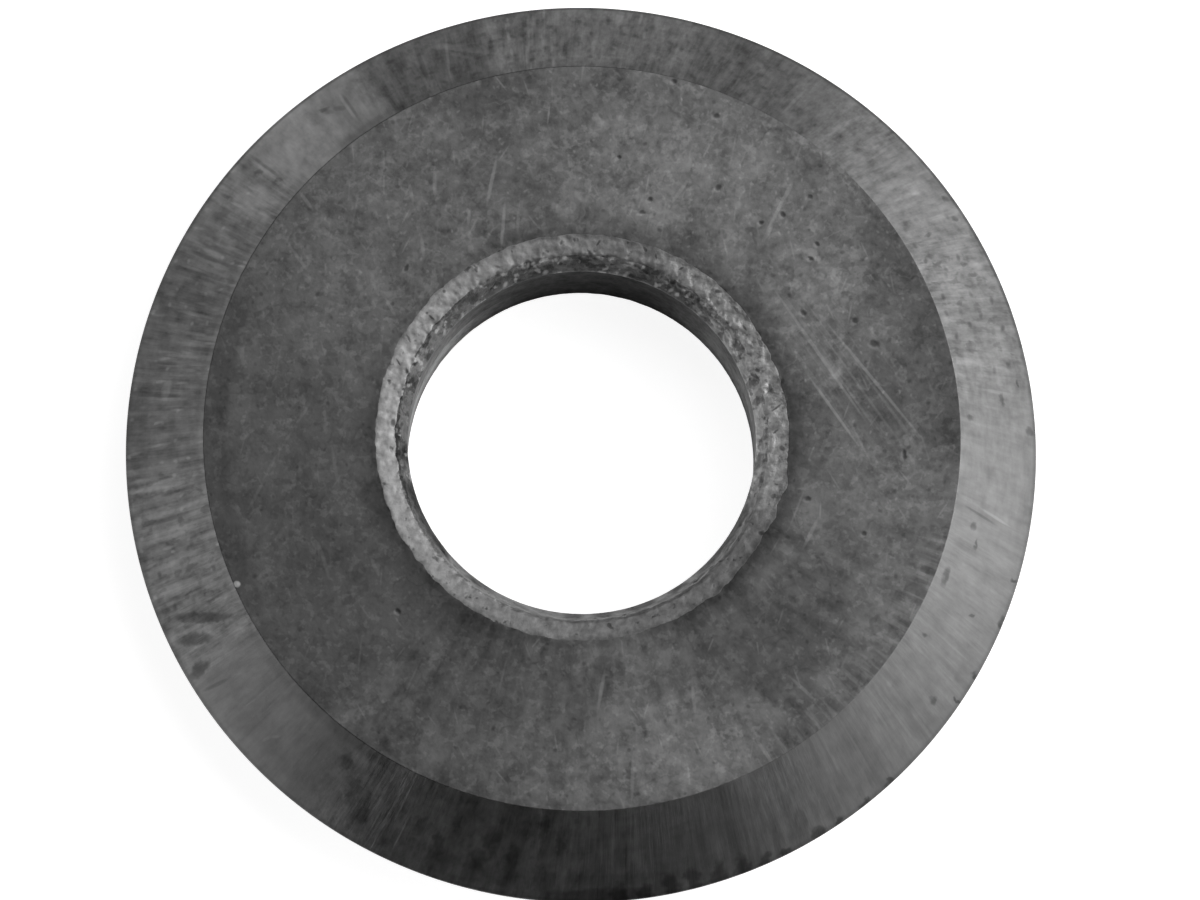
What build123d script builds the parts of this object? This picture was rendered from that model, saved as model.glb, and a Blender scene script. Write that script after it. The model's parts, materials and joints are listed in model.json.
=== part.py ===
from build123d import *
import os
from math import radians, sin, tan

# Scoring wheel of a manual tile cutter: one solid disc of sintered tungsten carbide.
# Two ground bevels meet at the rim, and the bore runs freely on the cutter's axle pin.
# Frame: origin at the middle of the bore, halfway between the faces, +Z along the axle.

# Overall sizes, in millimetres
outer_diameter = 16.0
thickness = 3.0
bore_diameter = 6.1

# Cutting edge: the angle between the two bevels in degrees, and the honed radius of its tip
edge_angle = 94.0
edge_radius = 0.05

# Bore mouth, alike on both faces: a shallow ring left by the pressing die, then a steep lead-in
ring_width = 0.36
ring_drop = 0.08
lead_in_width = 0.2
lead_in_drop = 0.42
mouth_radius = 0.12

outer_radius = outer_diameter / 2
bore_radius = bore_diameter / 2
half_thickness = thickness / 2
half_edge_angle = radians(edge_angle / 2)

# The bevels aim at a sharp point outside the rim, and the honed tip brings it back to the diameter
sharp_radius = outer_radius + edge_radius * (1 / sin(half_edge_angle) - 1)
face_radius = sharp_radius - half_thickness / tan(half_edge_angle)

# Where each step of the bore mouth ends, going outwards from the wall and down from the face
ring_inner_radius = bore_radius + lead_in_width
ring_outer_radius = ring_inner_radius + ring_width
ring_floor = half_thickness - ring_drop
half_land = ring_floor - lead_in_drop


with BuildPart() as cutter_wheel:
    with BuildSketch(Plane.XZ) as section:
        with BuildLine() as outline:
            Polyline(
                (bore_radius, half_land),
                (ring_inner_radius, ring_floor),
                (ring_outer_radius, half_thickness),
                (face_radius, half_thickness),
                (sharp_radius, 0),
            )
            mirror(about=Plane.XZ)
            Line((bore_radius, -half_land), (bore_radius, half_land))
        make_face()

        # Each lead-in runs into the bore wall in a soft curve, with no corner to chip
        land_ends = section.vertices().group_by(Axis.X)[0]
        fillet(land_ends, radius=mouth_radius)

        tip = section.vertices().sort_by(Axis.X)[-1]
        fillet(tip, radius=edge_radius)
    revolve(axis=Axis.Z)

cutter_wheel.part.label = "cutter_wheel"

os.makedirs("parts", exist_ok=True)
export_step(cutter_wheel.part, "parts/cutter_wheel.step")
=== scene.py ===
import json
from collections import namedtuple
from math import atan2, cos, degrees, exp, hypot, pi, radians, sin, tan

import bpy
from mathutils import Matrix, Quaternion, Vector, noise

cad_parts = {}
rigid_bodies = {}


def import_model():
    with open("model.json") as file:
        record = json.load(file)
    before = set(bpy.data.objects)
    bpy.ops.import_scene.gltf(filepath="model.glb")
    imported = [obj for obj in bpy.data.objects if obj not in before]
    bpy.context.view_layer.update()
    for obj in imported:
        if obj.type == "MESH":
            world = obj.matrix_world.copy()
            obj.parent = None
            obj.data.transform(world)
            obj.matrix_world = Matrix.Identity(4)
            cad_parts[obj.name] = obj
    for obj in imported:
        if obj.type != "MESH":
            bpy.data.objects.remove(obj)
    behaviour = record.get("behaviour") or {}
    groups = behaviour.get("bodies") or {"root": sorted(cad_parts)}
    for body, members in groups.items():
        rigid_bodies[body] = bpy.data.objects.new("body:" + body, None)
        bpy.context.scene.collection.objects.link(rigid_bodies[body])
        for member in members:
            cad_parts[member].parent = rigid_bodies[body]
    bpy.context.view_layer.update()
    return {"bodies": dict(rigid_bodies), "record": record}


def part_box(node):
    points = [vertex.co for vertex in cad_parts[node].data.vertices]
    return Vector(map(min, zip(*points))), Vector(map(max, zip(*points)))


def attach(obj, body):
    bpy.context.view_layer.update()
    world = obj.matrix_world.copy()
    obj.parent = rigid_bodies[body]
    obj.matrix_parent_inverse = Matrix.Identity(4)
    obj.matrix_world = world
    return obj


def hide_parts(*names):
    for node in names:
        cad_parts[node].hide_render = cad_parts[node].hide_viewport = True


# Scoring wheel of a manual tile cutter, lying on one side. It is one disc of sintered tungsten carbide.
# The bevels and faces are ground, and the mouths of the bore keep the rough skin of the sintered blank.
# Lengths are in metres, and in materials in millimetres. Angles round the wheel are in degrees from +X,
# anticlockwise seen from above.

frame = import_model()

mm = 0.001

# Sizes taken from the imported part
high_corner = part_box("cutter_wheel")[1]
rim_radius = high_corner.x
half_thickness = high_corner.z
mounts = {mount["name"]: mount for mount in frame["record"]["mounts"]}
bore_radius = mounts["axle_bore"]["dims"]["r_mm"] * mm

# The section's other sizes, as on the part: the bevels, the honed tip and the two steps of the bore mouth
edge_angle = radians(94.0)
edge_radius = 0.05 * mm
ring_width = 0.36 * mm
ring_drop = 0.08 * mm
lead_in_width = 0.2 * mm
lead_in_drop = 0.42 * mm
mouth_radius = 0.12 * mm

# How far the worn corner between the ring and the lead-in reaches along both
worn_reach = 0.06 * mm

ring_inner_radius = bore_radius + lead_in_width
ring_outer_radius = ring_inner_radius + ring_width
ring_floor = half_thickness - ring_drop
bevel_tilt = pi / 2 - edge_angle / 2
lead_in_tilt = atan2(lead_in_width, lead_in_drop)
sharp_radius = rim_radius + edge_radius * (1 / sin(edge_angle / 2) - 1)
face_radius = sharp_radius - half_thickness / tan(edge_angle / 2)
bevel_middle = (rim_radius + face_radius) / 2

# How finely the mesh is divided: steps round the wheel, and rings along each stretch of half its section
segments = 840
wall_rings = 8
blend_rings = 3
lead_in_rings = 11
worn_rings = 6
pressed_rings = 11
face_rings = 4
bevel_rings = 4
tip_rings = 4

# The narrow rings beside an edge, which keep its shading crisp
corner_gap = 0.012 * mm

# How far the skin of the blank rises and falls in each zone
wall_rough = 0.002 * mm
mouth_low_rough = 0.008 * mm
mouth_rough = 0.032 * mm
ring_rough = 0.016 * mm
ring_edge_rough = 0.004 * mm
grain_size = 0.16 * mm

# How far the pressed ring's two lines stray from their circles, and how far beside them the mesh follows.
# The outer line moves nothing that lies deeper than the ring's floor, but for a slack.
stray_depth = 0.03 * mm
outer_stray_reach = 0.25 * mm
inner_stray_reach = 0.15 * mm
floor_slack = 0.01 * mm


# Shape of the wheel

Station = namedtuple("Station", "radius height zone rough")


def shares(count):
    """Even steps from 0 to 1, the last one left out."""
    return [step / count for step in range(count)]


def straight(start, end, zone, count, rough_start=0.0, rough_end=0.0):
    """Rings of the mesh along a straight stretch of the section."""
    stations = []
    for share in shares(count):
        radius = start[0] + (end[0] - start[0]) * share
        height = start[1] + (end[1] - start[1]) * share
        rough = rough_start + (rough_end - rough_start) * share
        stations.append(Station(radius, height, zone, rough))
    return stations


def worn(start, corner, end, zone_start, zone_end, count):
    """Rings of the mesh round a corner that is worn soft, with a zone for each half."""
    stations = []
    for share in shares(count):
        before, middle, after = (1 - share) ** 2, 2 * share * (1 - share), share ** 2
        radius = before * start[0] + middle * corner[0] + after * end[0]
        height = before * start[1] + middle * corner[1] + after * end[1]
        zone = zone_start if share < 0.5 else zone_end
        rough = mouth_rough + (ring_rough - mouth_rough) * share
        stations.append(Station(radius, height, zone, rough))
    return stations


def bore_section():
    """Rings from the middle of the bore wall, up over the mouth and the pressed ring to the face."""
    land_height = ring_floor - lead_in_drop - mouth_radius * tan(lead_in_tilt / 2)
    blend_centre = bore_radius + mouth_radius
    ring_inner = (ring_inner_radius, ring_floor)
    ring_outer = (ring_outer_radius, half_thickness)
    ring_tilt = atan2(ring_drop, ring_width)
    worn_start = (
        ring_inner_radius - worn_reach * sin(lead_in_tilt),
        ring_floor - worn_reach * cos(lead_in_tilt),
    )
    worn_end = (
        ring_inner_radius + worn_reach * cos(ring_tilt),
        ring_floor + worn_reach * sin(ring_tilt),
    )

    middle, land_end = (bore_radius, 0), (bore_radius, land_height)
    stations = straight(middle, land_end, "wall", wall_rings, wall_rough, wall_rough)
    for share in shares(blend_rings):
        turn = lead_in_tilt * share
        radius = blend_centre - mouth_radius * cos(turn)
        height = land_height + mouth_radius * sin(turn)
        rough = wall_rough + (mouth_low_rough - wall_rough) * share
        stations.append(Station(radius, height, "mouth", rough))
    blend_end = (
        blend_centre - mouth_radius * cos(lead_in_tilt),
        land_height + mouth_radius * sin(lead_in_tilt),
    )
    stations += straight(blend_end, worn_start, "mouth", lead_in_rings, mouth_low_rough, mouth_rough)
    stations += worn(worn_start, ring_inner, worn_end, "mouth", "ring", worn_rings)
    stations += straight(worn_end, ring_outer, "ring", pressed_rings, ring_rough, ring_edge_rough)
    return stations


def ground_section():
    """Rings from the pressed ring across the face and down the bevel to the tip of the rim."""
    face_start = (ring_outer_radius, half_thickness)
    face_inner = (ring_outer_radius + corner_gap, half_thickness)
    face_calm = (ring_outer_radius + 5 * corner_gap, half_thickness)
    face_outer = (face_radius - corner_gap, half_thickness)
    face_end = (face_radius, half_thickness)
    bevel_start = (
        face_radius + corner_gap * sin(bevel_tilt),
        half_thickness - corner_gap * cos(bevel_tilt),
    )
    tip_centre = rim_radius - edge_radius
    tip_start = (tip_centre + edge_radius * cos(bevel_tilt), edge_radius * sin(bevel_tilt))

    stations = straight(face_start, face_inner, "face", 1, ring_edge_rough)
    stations += straight(face_inner, face_calm, "face", 1)
    stations += straight(face_calm, face_outer, "face", face_rings)
    stations += straight(face_outer, face_end, "face", 1)
    stations += straight(face_end, bevel_start, "bevel", 1)
    stations += straight(bevel_start, tip_start, "bevel", bevel_rings)
    for share in shares(tip_rings):
        turn = bevel_tilt * (1 - share)
        radius = tip_centre + edge_radius * cos(turn)
        stations.append(Station(radius, edge_radius * sin(turn), "bevel", 0.0))
    return stations


def whole_section():
    """Both halves of the section as one closed line of rings, the upper half first."""
    upper = bore_section() + ground_section()
    tip = Station(rim_radius, 0.0, "bevel", 0.0)
    # A ring's zone is that of the stretch after it, so underneath it is the zone of the ring before it
    lower = [
        Station(ring.radius, -ring.height, inner.zone, ring.rough)
        for inner, ring in zip(upper, upper[1:])
    ]
    return upper + [tip] + lower[::-1]


def swell(angle, centre, half_width):
    """1 at one angle round the wheel, falling softly to 0 on both sides. The last two are in degrees."""
    away = degrees(angle) - centre
    away -= 360.0 * round(away / 360.0)
    return exp(-(away / half_width) ** 2)


def burrs(angle):
    """Where metal is pushed out over the face, at a few places on the ring's outer line."""
    large = 0.09 * mm * swell(angle, -13.5, 3.5)
    middle = 0.05 * mm * swell(angle, -23.0, 3.0)
    small = 0.05 * mm * swell(angle, -49.5, 2.0)
    return large + middle + small


def coarseness(angle, side):
    """How many times coarser than on the lower side the skin is.

    On the upper side it is coarsest where the mouth is broken up, and calmest on the near side.
    """
    if side < 0:
        return 1.0
    broken_up = 1.1 * swell(angle, 34.0, 28.0) + 0.5 * swell(angle, 165.0, 30.0)
    return 0.8 + broken_up - 0.4 * swell(angle, -85.0, 50.0)


def outer_stray(angle, side):
    """How far the pressed ring's ragged outer line strays from its circle, on one side of the wheel."""
    around = Vector((cos(angle), sin(angle), 3.0 * side))
    stray = stray_depth * noise.fractal(around * 12, 0.8, 2.0, 4)
    return stray + burrs(angle) if side > 0 else stray


def inner_stray(angle, side):
    """The same for the line between the pressed ring and the lead-in."""
    around = Vector((cos(angle), sin(angle), 5.0 * side))
    return stray_depth * coarseness(angle, side) * noise.fractal(around * 9, 0.9, 2.0, 4)


def grain_lift(point):
    """Height of the grainy skin of the blank at a point, from about -1 to 1."""
    return noise.fractal(point / grain_size, 0.8, 2.1, 4)


def ring_points(section, index):
    """The points of one ring of the mesh, with the ragged lines and the grain of the skin worked in."""
    ring = section[index]
    before = section[index - 1]
    after = section[(index + 1) % len(section)]
    along = Vector((after.radius - before.radius, after.height - before.height)).normalized()
    outward = Vector((-along.y, along.x))
    side = 1 if ring.height >= 0 else -1
    on_top = abs(ring.height) > ring_floor - floor_slack
    from_outer = abs(ring.radius - ring_outer_radius)
    outer_share = max(0.0, 1 - from_outer / outer_stray_reach) if on_top else 0.0
    from_inner = hypot(ring.radius - ring_inner_radius, abs(ring.height) - ring_floor)
    inner_share = max(0.0, 1 - from_inner / inner_stray_reach)
    points = []
    for segment in range(segments):
        angle = 2 * pi * segment / segments
        radius = ring.radius
        height = ring.height
        if outer_share:
            radius += outer_stray(angle, side) * outer_share
        if inner_share:
            radius += inner_stray(angle, side) * inner_share
        if ring.rough:
            here = Vector((radius * cos(angle), radius * sin(angle), height))
            lift = ring.rough * coarseness(angle, side) * grain_lift(here)
            radius += outward.x * lift
            height += outward.y * lift
        points.append((radius * cos(angle), radius * sin(angle), height))
    return points


def wheel_mesh(name):
    """The wheel as one closed mesh of rings, with a finish for each zone."""
    section = whole_section()
    zones = list(finish_of_zone)
    points = []
    faces = []
    finishes = []
    for index, ring in enumerate(section):
        points += ring_points(section, index)
        row = index * segments
        next_row = (index + 1) % len(section) * segments
        for segment in range(segments):
            after = (segment + 1) % segments
            faces.append((row + segment, next_row + segment, next_row + after, row + after))
            finishes.append(zones.index(ring.zone))
    mesh = bpy.data.meshes.new(name)
    mesh.from_pydata(points, [], faces)
    for zone in zones:
        mesh.materials.append(finish_of_zone[zone]())
    mesh.polygons.foreach_set("material_index", finishes)
    mesh.polygons.foreach_set("use_smooth", [True] * len(faces))
    mesh.validate()
    return mesh


# Materials

Mark = namedtuple("Mark", "x y length width turn", defaults=[0])
Patch = namedtuple("Patch", "place level")
Stroke = namedtuple("Stroke", "angle radius length width lean", defaults=[0])
Sector = namedtuple("Sector", "start end soft level")


class Nodes:
    """Makes the nodes of a material or world, and joins them."""

    def __init__(self, tree):
        self.tree = tree

    def node(self, kind, values=None, **settings):
        """A new node with its settings, its inputs set to plain values or linked to other nodes."""
        made = self.tree.nodes.new("ShaderNode" + kind)
        for name, value in settings.items():
            setattr(made, name, value)
        for name, value in (values or {}).items():
            self.feed(made.inputs[name], value)
        return made

    def feed(self, socket, value):
        """Links an output to the socket, or sets the socket to a plain value."""
        if isinstance(value, bpy.types.NodeSocket):
            self.tree.links.new(value, socket)
        else:
            socket.default_value = value

    def vector(self, operation, first, second=None, third=None, scale=None):
        """The outcome of a vector sum."""
        values = {0: first, 1: second, 2: third, "Scale": scale}
        given = {name: value for name, value in values.items() if value is not None}
        return self.node("VectorMath", given, operation=operation).outputs["Vector"]

    def length(self, vector):
        """How long a vector is."""
        return self.node("VectorMath", {0: vector}, operation="LENGTH").outputs["Value"]

    def dot(self, first, second):
        """The dot product of two vectors."""
        return self.node("VectorMath", {0: first, 1: second}, operation="DOT_PRODUCT").outputs["Value"]

    def math(self, operation, first, second=0.0, third=0.0):
        """The outcome of a plain sum."""
        return self.node("Math", {0: first, 1: second, 2: third}, operation=operation).outputs[0]

    def ramp(self, value, start, end, low=0.0, high=1.0, smooth=True):
        """Takes the value from low to high between start and end, and holds it flat outside them."""
        kind = "SMOOTHSTEP" if smooth else "LINEAR"
        values = {"Value": value, "From Min": start, "From Max": end, "To Min": low, "To Max": high}
        return self.node("MapRange", values, interpolation_type=kind).outputs["Result"]

    def both(self, first, second):
        """Where two masks meet."""
        return self.math("MULTIPLY", first, second)

    def any_of(self, masks):
        """Where there is any of the masks, which may still be in the making one after another."""
        whole = 0.0
        for mask in masks:
            whole = self.math("MAXIMUM", mask, whole)
        return whole


class Finish(Nodes):
    """One finish of the metal: a material built up in layers. Its nodes work in millimetres and degrees.

    Its arc radius, in metres, is where places along the arc are true to length.
    """

    # The seam of the angle round the wheel, where no placed mark crosses it
    seam = 230.0

    def __init__(self, name, tone, arc_radius=bevel_middle):
        self.material = bpy.data.materials.new(name)
        self.material.use_nodes = True
        super().__init__(self.material.node_tree)
        self.surface = self.tree.nodes["Principled BSDF"]
        self.surface.inputs["Metallic"].default_value = 1.0
        self.tone = tone
        self.level = 1.0
        self.relief = 0.0
        object_place = self.node("TexCoord").outputs["Object"]
        self.place = self.vector("SCALE", object_place, scale=1 / mm)
        self.flat = self.vector("MULTIPLY", self.place, (1.0, 1.0, 0.0))
        self.radius = self.length(self.flat)
        self.around = self.vector("NORMALIZE", self.flat)
        self.height = self.node("SeparateXYZ", {0: self.place}).outputs["Z"]
        self.upper = self.ramp(self.height, -0.02, 0.02)
        parts = self.node("SeparateXYZ", {0: self.flat}).outputs
        plain_angle = self.math("DEGREES", self.math("ARCTAN2", parts["Y"], parts["X"]))
        self.angle = self.math("WRAP", plain_angle, self.seam, self.seam - 360.0)

        # Places as seen from above, and places along an arc and out from the middle. Both have 1 for Z.
        self.plan = self.vector("ADD", self.flat, (0.0, 0.0, 1.0))
        self.arc_per_degree = radians(1.0) * arc_radius / mm
        along = self.math("MULTIPLY", self.angle, self.arc_per_degree)
        self.arc = self.node("CombineXYZ", {"X": along, "Y": self.radius, "Z": 1.0}).outputs[0]

    def grain(self, place, rates, seed, detail=3.0, rough=0.55):
        """Noise around 0, from about -1 to 1, with one or three rates of features to the millimetre."""
        if not isinstance(rates, tuple):
            rates = (rates, rates, rates)
        shift = (3.7 * seed, 8.3 * seed, 5.9 * seed)
        moved = self.vector("MULTIPLY_ADD", place, rates, shift)
        values = {"Vector": moved, "Scale": 1.0, "Detail": detail, "Roughness": rough}
        made = self.node("TexNoise", values).outputs["Fac"]
        return self.ramp(made, 0.25, 0.75, -1.0, 1.0, smooth=False)

    def ragged(self, place, rate, seed, reach):
        """The place pushed about by noise, so that what is placed there gets an uneven outline."""
        values = {"Vector": self.vector("ADD", self.place, (seed, 0.0, 0.0)), "Scale": rate, "Detail": 2.0}
        push = self.node("TexNoise", values).outputs["Color"]
        centred = self.vector("SUBTRACT", push, (0.5, 0.5, 0.5))
        return self.vector("MULTIPLY_ADD", centred, (reach[0] * 2, reach[1] * 2, 0.0), place)

    def unrolled(self, lean=0.0):
        """Places round the wheel and out from its middle, so that stretched noise gives radial lines.

        The lines lean by so many degrees towards larger angles as they run outwards.
        """
        wide = self.vector("SCALE", self.around, scale=rim_radius / mm)
        if lean:
            tangent = self.vector("CROSS_PRODUCT", (0.0, 0.0, 1.0), self.around)
            slope = tan(radians(lean))
            shift = self.math("MULTIPLY_ADD", self.radius, -slope, bevel_middle / mm * slope)
            wide = self.vector("ADD", wide, self.vector("SCALE", tangent, scale=shift))
        # The lower side takes its noise from elsewhere
        side = self.ramp(self.height, -0.01, 0.01, -20.0, 0.0, smooth=False)
        out = self.math("ADD", self.radius, side)
        return self.vector("ADD", wide, self.node("CombineXYZ", {"Z": out}).outputs[0])

    def spot(self, place, centre, size, turn, soft):
        """An oval mask, 1 in its middle and 0 outside it, that fades over the soft share of its size.

        The place has 1 for Z, so that one dot product both turns it and moves it to the centre.
        """
        middle = Vector(centre)
        lengthwise = Vector((cos(radians(turn)), sin(radians(turn)))) * 2 / size[0]
        crosswise = Vector((-sin(radians(turn)), cos(radians(turn)))) * 2 / size[1]
        squared = 0.0
        for axis in (lengthwise, crosswise):
            row = (axis.x, axis.y, -axis.dot(middle))
            offset = self.dot(place, row)
            squared = self.math("MULTIPLY_ADD", offset, offset, squared)
        return self.ramp(squared, 1.0, (1.0 - soft) ** 2)

    def marks(self, marks, place=None, soft=0.6):
        """Marks placed on the upper face, in millimetres along X and Y."""
        spots = (
            self.spot(place or self.plan, (mark.x, mark.y), (mark.length, mark.width), mark.turn, soft)
            for mark in marks
        )
        return self.both(self.any_of(spots), self.upper)

    def strokes(self, strokes, place=None, soft=0.6):
        """Marks placed on the upper side by their angle round the wheel and their distance from its middle.

        Each runs straight outwards, but for its lean in degrees towards larger angles.
        """
        spots = (
            self.spot(
                place or self.arc,
                (stroke.angle * self.arc_per_degree, stroke.radius),
                (stroke.length, stroke.width),
                90 - stroke.lean,
                soft,
            )
            for stroke in strokes
        )
        return self.both(self.any_of(spots), self.upper)

    def band(self, start, end):
        """Goes from 0 at one distance from the middle to 1 at another, in millimetres."""
        return self.ramp(self.radius, start, end)

    def sector(self, start, end, soft):
        """1 on the upper side between two angles, which lie below the seam by up to a full turn."""
        entered = self.ramp(self.angle, start - soft / 2, start + soft / 2)
        left = self.ramp(self.angle, end + soft / 2, end - soft / 2)
        return self.both(self.both(entered, left), self.upper)

    def sectors(self, *stretches):
        """1 in any of several sectors, each given by its start, end and softness."""
        return self.any_of(self.sector(*stretch) for stretch in stretches)

    def scattered(self, place, rate, seed, size, turn, spread, share):
        """Short marks strewn at random, one to a cell, of uneven strength. Only a share of them shows.

        They turn by so many degrees, give or take the spread.
        """
        moved = self.vector("MULTIPLY_ADD", place, (rate, rate, 0.0), (7.1 * seed, 3.3 * seed, 0.0))
        cells = self.node("TexVoronoi", {"Vector": moved, "Scale": 1.0}, voronoi_dimensions="2D").outputs
        offset = self.vector("SUBTRACT", moved, cells["Position"])
        draws = self.node("SeparateColor", {0: cells["Color"]}).outputs
        lean = self.math("MULTIPLY_ADD", draws["Red"], radians(2 * spread), -radians(spread))
        whole_turn = self.math("ADD", lean, radians(turn))
        back = self.math("MULTIPLY", whole_turn, -1.0)
        values = {"Vector": offset, "Angle": back}
        turned = self.node("VectorRotate", values, rotation_type="Z_AXIS").outputs["Vector"]
        scaled = self.vector("MULTIPLY", turned, (2 / (size[0] * rate), 2 / (size[1] * rate), 0.0))
        shown = self.ramp(draws["Green"], 1.0 - share, 1.0, smooth=False)
        return self.both(self.ramp(self.length(scaled), 1.0, 0.2), shown)

    def trails(self, place, rate, seed, width):
        """Thin winding lines, where noise passes through 0, that come and go."""
        wound = self.grain(place, rate, seed, detail=2.0)
        line = self.ramp(self.math("ABSOLUTE", wound), width, 0.0)
        shown = self.grain(place, 0.7 * rate, seed + 20, detail=1.0)
        return self.both(line, self.ramp(shown, -0.1, 0.4))

    def inside(self, layer, within):
        """The layer, kept inside a second mask if there is one."""
        return layer if within is None else self.both(layer, within)

    def vary(self, layer, amount, within=None):
        """Adds a share of a layer to the brightness, where 1 is the plain tone."""
        self.level = self.math("MULTIPLY_ADD", self.inside(layer, within), amount, self.level)

    def shade(self, mask, factor, within=None):
        """Multiplies the brightness inside a mask."""
        change = self.math("MULTIPLY_ADD", self.inside(mask, within), factor - 1.0, 1.0)
        self.level = self.math("MULTIPLY", self.level, change)

    def shade_sectors(self, stretches, within=None):
        """Multiplies the brightness in each of several sectors by its own level."""
        for stretch in stretches:
            self.shade(self.sector(stretch.start, stretch.end, stretch.soft), stretch.level, within)

    def raise_by(self, layer, height, within=None):
        """Adds a layer to the relief, so many millimetres high."""
        self.relief = self.math("MULTIPLY_ADD", self.inside(layer, within), height, self.relief)

    def close(self, roughness):
        """Joins the brightness, the roughness and the relief to the surface."""
        self.feed(self.surface.inputs["Base Color"], self.math("MULTIPLY", self.level, self.tone))
        self.feed(self.surface.inputs["Roughness"], roughness)
        bump = self.node("Bump", {"Height": self.relief, "Distance": mm, "Strength": 1.0})
        self.feed(self.surface.inputs["Normal"], bump.outputs["Normal"])
        return self.material


def lapped_face():
    """The flat faces: dull, cloudy and scratched, with open pores."""
    coat = Finish("lapped_face", 0.125)
    mottle = coat.grain(coat.place, 1.5, 1, detail=4.0, rough=0.65)
    far_half = coat.sector(-15, 155, 40)
    cloud_face(coat, mottle, far_half)
    wear_face(coat, far_half)
    scar_face(coat)
    face_borders(coat)
    coat.raise_by(mottle, 0.003)
    roughness = coat.math("MULTIPLY_ADD", mottle, 0.06, 0.48)
    return coat.close(roughness)


def cloud_face(coat, mottle, far_half):
    """Clouds, fainter on the left and the right, finer ones on the far half, drags on the near side, and
    broad patches that are partly painted light and shade and partly the face's own tone.
    """
    blots = coat.grain(coat.place, 4.0, 5, detail=2.0, rough=0.6)
    flecks = coat.grain(coat.place, 6.5, 2, detail=2.0)
    drags = coat.grain(coat.unrolled(), (2.6, 2.6, 0.9), 4, rough=0.6)
    fine = coat.grain(coat.place, 5.0, 14, rough=0.75)
    coat.vary(mottle, 0.50)
    coat.vary(mottle, -0.20, coat.sector(140, 229, 40))
    coat.vary(mottle, -0.07, coat.sector(-10, 95, 40))
    coat.vary(coat.ramp(flecks, 0.2, 0.6), 0.28)
    coat.vary(drags, 0.26, coat.sector(-165, -15, 30))
    coat.vary(fine, 0.12)
    coat.vary(fine, 0.16, far_half)
    coat.shade(coat.ramp(blots, 0.2, 0.5), 0.84)
    # Broad patches of painted light and shade across the face, mixed with patches of its own tone
    for patch in face_light_and_tone_patches:
        coat.shade(coat.marks([patch.place], soft=0.95), patch.level)


def wear_face(coat, far_half):
    """Winding outlines left by dried residue, bright and dark specks, and hair scratches mostly along Y."""
    outlines = coat.trails(coat.place, 2.4, 9, 0.20)
    coat.vary(outlines, 0.08)
    coat.vary(outlines, 0.16, far_half)
    coat.shade(coat.trails(coat.place, 2.0, 11, 0.18), 0.84)
    specks = coat.scattered(coat.flat, 4.2, 12, (0.10, 0.06), 90, 60, 0.6)
    coat.vary(specks, 0.25)
    coat.vary(specks, 0.25, far_half)
    coat.shade(coat.scattered(coat.flat, 3.8, 13, (0.11, 0.07), 90, 60, 0.6), 0.70)
    left = coat.sector(130, 229, 40)
    long_hairs = coat.scattered(coat.flat, 0.75, 3, (0.95, 0.06), 90, 28, 0.7)
    coat.vary(long_hairs, 0.36)
    coat.vary(long_hairs, -0.22, left)
    short_hairs = coat.scattered(coat.flat, 1.7, 4, (0.45, 0.05), 90, 40, 0.7)
    coat.vary(short_hairs, 0.40)
    coat.vary(short_hairs, -0.18, left)
    coat.vary(short_hairs, 0.16, coat.sector(75, 140, 30))


def scar_face(coat):
    """A bundle of long scratches, others that stand out, and pores."""
    bundle = Mark(4.7, 1.15, 4.6, 1.9, -55)
    values = {"Vector": coat.flat, "Rotation": (0.0, 0.0, radians(bundle.turn))}
    along = coat.node("Mapping", values, vector_type="TEXTURE").outputs["Vector"]
    threads = coat.ramp(coat.grain(along, (0.25, 11.0, 1.0), 6, detail=1.0), 0.0, 0.7)
    coat.vary(threads, 0.30, coat.marks([bundle], soft=0.9))
    coat.vary(coat.marks(long_face_scratches, soft=0.8), 0.55)
    coat.vary(coat.marks(face_scratches, soft=0.8), 0.42)
    coat.vary(coat.marks(faint_face_scratches, soft=0.9), 0.22)

    # Each placed pore has a painted highlight beside it, on the side whose wall would face the lights
    pores = coat.scattered(coat.flat, 2.6, 8, (0.13, 0.10), 0, 90, 0.35)
    ragged = coat.ragged(coat.plan, 9.0, 2.0, (0.03, 0.03))
    beside = coat.vector("ADD", ragged, (0.035, 0.035, 0.0))
    coat.vary(coat.marks(face_pits, beside, soft=0.9), 0.50)
    coat.shade(pores, 0.6)
    coat.shade(coat.marks(face_pits, ragged, soft=0.9), 0.32)


def face_borders(coat):
    """Darker round the ring, most on the left and the right, with a line of painted shade against it, and
    darker along stretches of the outer edge.
    """
    beside_ring = coat.band(4.1, 3.65)
    coat.shade(beside_ring, 0.90)
    # A narrow line of painted shade against the ring's outer edge
    coat.shade(coat.band(3.80, 3.68), 0.84)
    coat.shade(beside_ring, 0.80, coat.sectors((-66, 48, 16), (168, 240, 20), (-140, -108, 16)))
    coat.shade(beside_ring, 0.86, coat.sectors((-64, -22, 12), (172, 188, 10)))
    coat.shade_sectors(darker_by_ring, beside_ring)
    coat.shade(coat.band(5.7, 6.45), 0.60, coat.sector(-6, 38, 16))
    coat.shade(coat.band(6.10, 6.32), 0.70, coat.sector(154, 204, 12))
    coat.shade(coat.band(6.2, 6.5), 0.75, coat.sectors((204, 229, 16), (-129, -99, 12)))

    # Streaks dragged in from the bevel over the near right stretch of the edge, darker between them
    streaks = coat.ramp(coat.grain(coat.unrolled(), (5.5, 5.5, 0.8), 10), -0.2, 0.8)
    near_edge = coat.both(coat.band(5.9, 6.5), coat.sector(-64, -14, 12))
    coat.shade(near_edge, 0.80)
    coat.vary(near_edge, 0.55, streaks)

    # A bright speck of bare metal
    coat.shade(coat.marks([Mark(-6.02, -2.62, 0.15, 0.14)]), 5.0)


# Stretches of the darker band round the ring, by angle round the wheel

darker_by_ring = [
    Sector(-66, 60, 16, 0.77),
    Sector(60, 112, 12, 0.88),
]

# Places on the upper face, in millimetres from the middle, with the direction in degrees from +X

# Broad patches of the face's brightness: partly painted light and shade across the face, partly its own
# tone
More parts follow.
